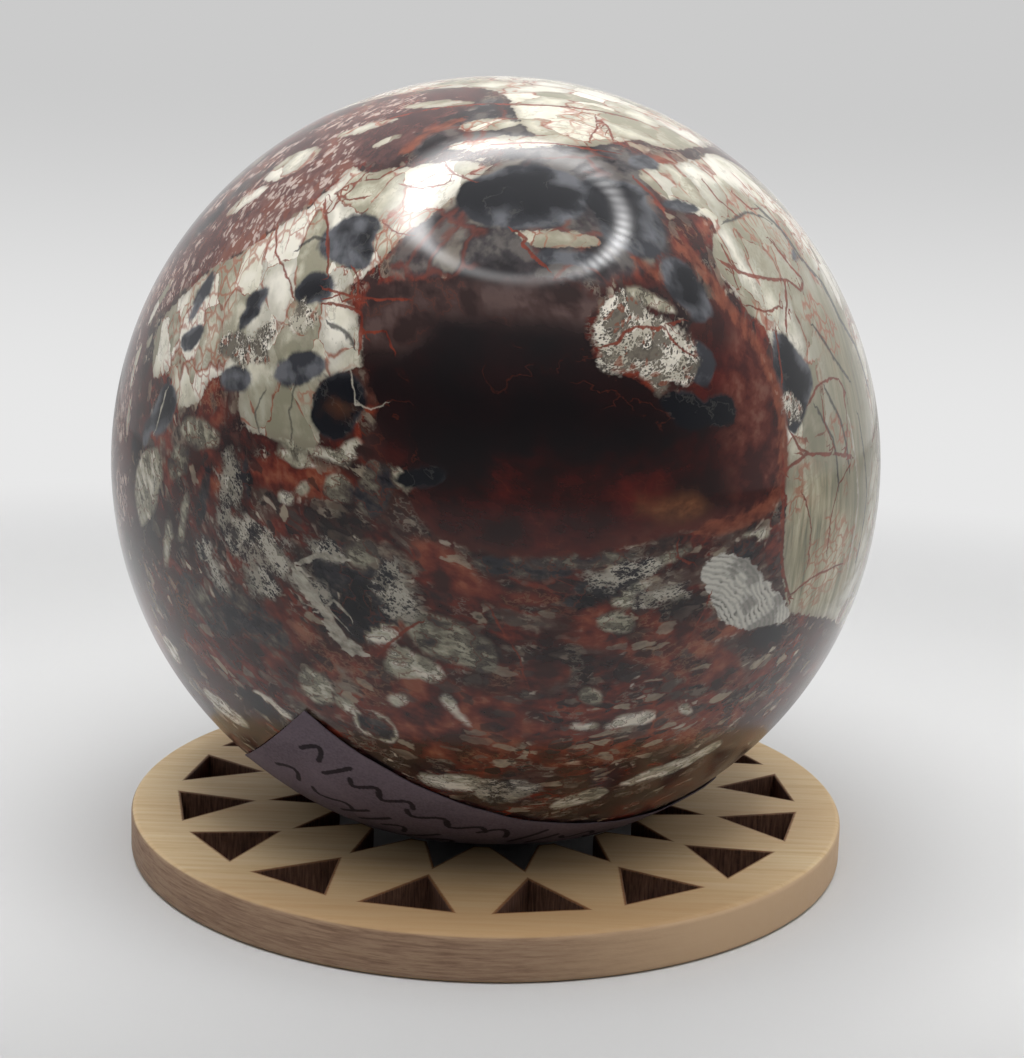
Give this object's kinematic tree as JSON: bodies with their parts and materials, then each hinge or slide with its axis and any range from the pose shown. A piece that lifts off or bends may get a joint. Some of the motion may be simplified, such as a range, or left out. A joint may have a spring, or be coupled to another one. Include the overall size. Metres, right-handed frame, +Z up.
{
  "type": "decorative stone sphere on a wooden stand",
  "caption": "Polished brecciated stone ball with a paper label, resting in the notched hole of a flat round wooden stand with triangular cut-outs.",
  "frame": {"origin": "centre of the stand's underside, on the surface that the ornament stands on", "axes": "+Z up through the ball's centre; -Y is the front, where the label shows on the ball's lower left; +X to the right"},
  "size_m": [0.1, 0.1, 0.1007],
  "materials": {
    "pale_wood": "sanded bare pale wood, scorched brown on the laser-cut walls",
    "polished_jasper": "high polish, maroon brecciated jasper with cream, slate and sage patches and red veins",
    "lilac_paper": "matt lilac paper with dark pen strokes"
  },
  "bodies": {
    "root": {"wooden_stand": "pale_wood", "stone_sphere": "polished_jasper", "paper_label": "lilac_paper"}
  },
  "joints": []
}
